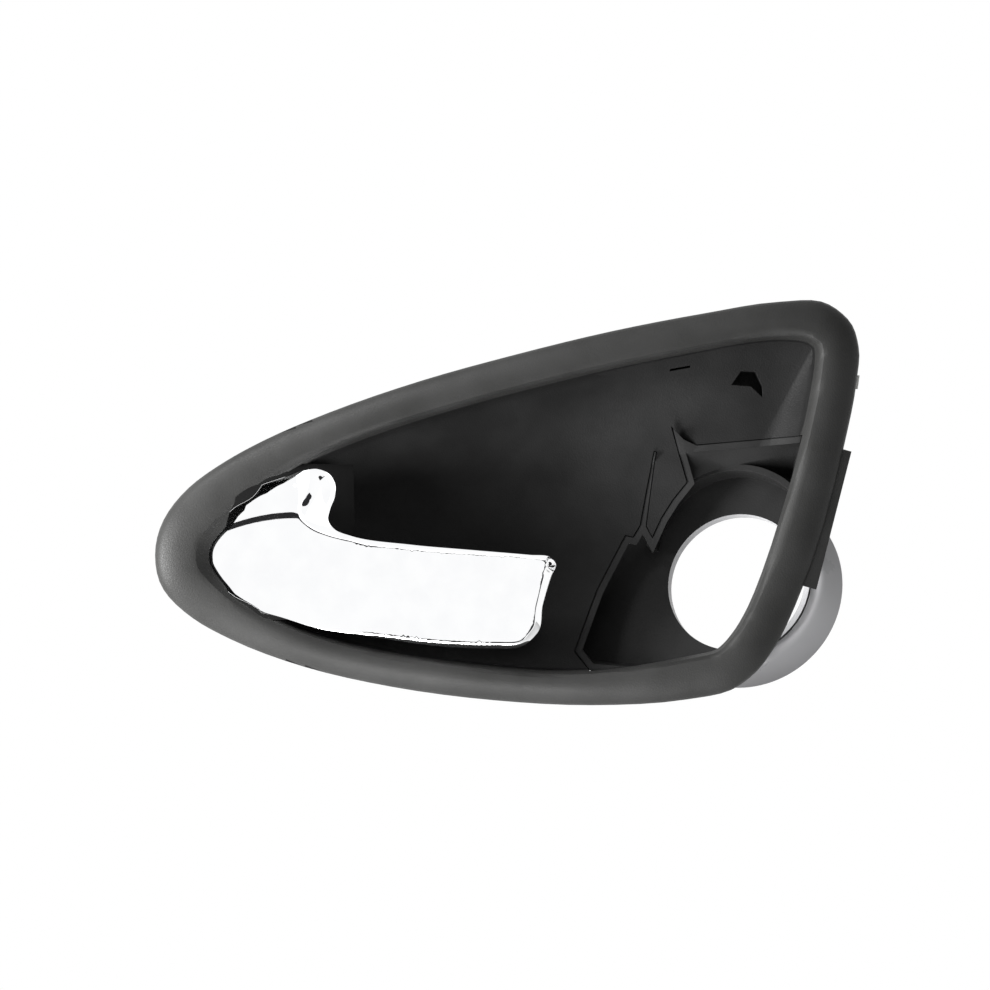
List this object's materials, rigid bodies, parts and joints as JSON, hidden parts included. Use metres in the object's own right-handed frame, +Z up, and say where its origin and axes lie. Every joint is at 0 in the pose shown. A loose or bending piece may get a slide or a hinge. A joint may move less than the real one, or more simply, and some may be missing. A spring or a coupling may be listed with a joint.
{
  "type": "car interior door handle",
  "caption": "Teardrop surround with a finger bowl, a chromed pull lever on a hinge pin and a tilted speaker cup behind its tail, for a car's inner door.",
  "frame": {"origin": "mouth of the lower fixing boss, on the plane that seats on the door trim", "axes": "+X from nose to tail, +Y into the door, +Z up"},
  "size_m": [0.2353, 0.05, 0.1353],
  "materials": {
    "grained_plastic": "fine grain, satin",
    "chrome": "bright chrome on plastic",
    "black_nylon": "satin",
    "pale_nylon": "satin",
    "steel": "zinc plated",
    "rubber": "matt"
  },
  "bodies": {
    "housing": {"housing": "grained_plastic", "speaker_cup": "grained_plastic", "pivot_bracket": "black_nylon", "pivot_pin": "steel", "pin_clip": "steel", "pivot_washer_lower": "pale_nylon", "pivot_washer_upper": "pale_nylon", "return_spring": "steel", "rest_bumper": "rubber", "travel_bumper": "rubber", "cable_clip": "pale_nylon", "bracket_screw_1": "steel", "bracket_screw_2": "steel", "bracket_screw_3": "steel", "cup_screw_1": "steel", "cup_screw_2": "steel", "cup_screw_3": "steel", "panel_clip_1": "pale_nylon", "panel_clip_2": "pale_nylon", "panel_clip_3": "pale_nylon", "panel_clip_4": "pale_nylon"},
    "lever": {"lever": "chrome", "lever_hub": "black_nylon", "hub_screw_1": "steel", "hub_screw_2": "steel"}
  },
  "joints": [
    {"name": "lever_pull", "type": "hinge", "parent": "housing", "child": "lever", "pos_m": [-0.09953, 0.0042, 0.04273], "axis": [0, 0, -1], "range_deg": [0, 30], "stiffness_Nm_per_rad": 0.25, "springref_deg": -28.65, "deforming": ["return_spring"]}
  ]
}
